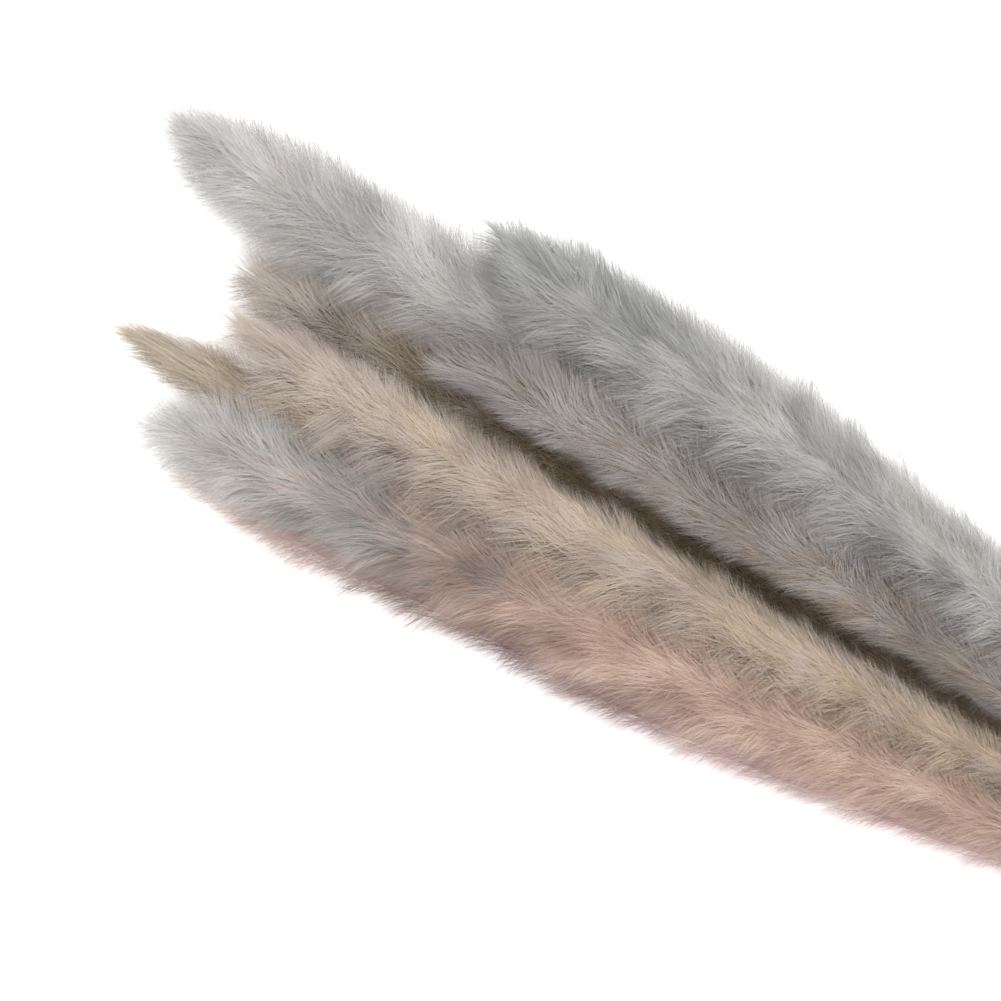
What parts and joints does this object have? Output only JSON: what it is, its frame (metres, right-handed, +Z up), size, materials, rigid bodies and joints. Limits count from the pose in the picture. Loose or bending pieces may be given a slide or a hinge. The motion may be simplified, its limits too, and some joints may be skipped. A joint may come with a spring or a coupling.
{
  "type": "bunch of reeds",
  "caption": "Bunch of dried reeds with soft grey and beige plumes, tied round the stems with twine and lying flat.",
  "frame": {"origin": "middle of the footprint, on the surface that the bunch lies on", "axes": "+X along the bunch from the plume tips to the cut stem ends, +Z up, +Y across the bunch"},
  "size_m": [0.5702, 0.1006, 0.0376],
  "materials": {
    "grey_reed": "soft matte dried plume, grey, on a straw-coloured stem",
    "lilac_reed": "soft matte dried plume, lilac grey, on a straw-coloured stem",
    "brown_reed": "soft matte dried plume, grey brown, on a straw-coloured stem",
    "beige_reed": "soft matte dried plume, beige, on a straw-coloured stem",
    "pink_reed": "soft matte dried plume, pinkish brown, on a straw-coloured stem",
    "jute": "matte twisted plant-fibre twine"
  },
  "bodies": {
    "root": {"reed_1": "pink_reed", "reed_2": "beige_reed", "reed_3": "brown_reed", "reed_4": "grey_reed", "reed_5": "grey_reed", "reed_6": "lilac_reed", "reed_7": "beige_reed", "reed_8": "lilac_reed", "reed_9": "grey_reed", "twine_tie": "jute"}
  },
  "joints": []
}
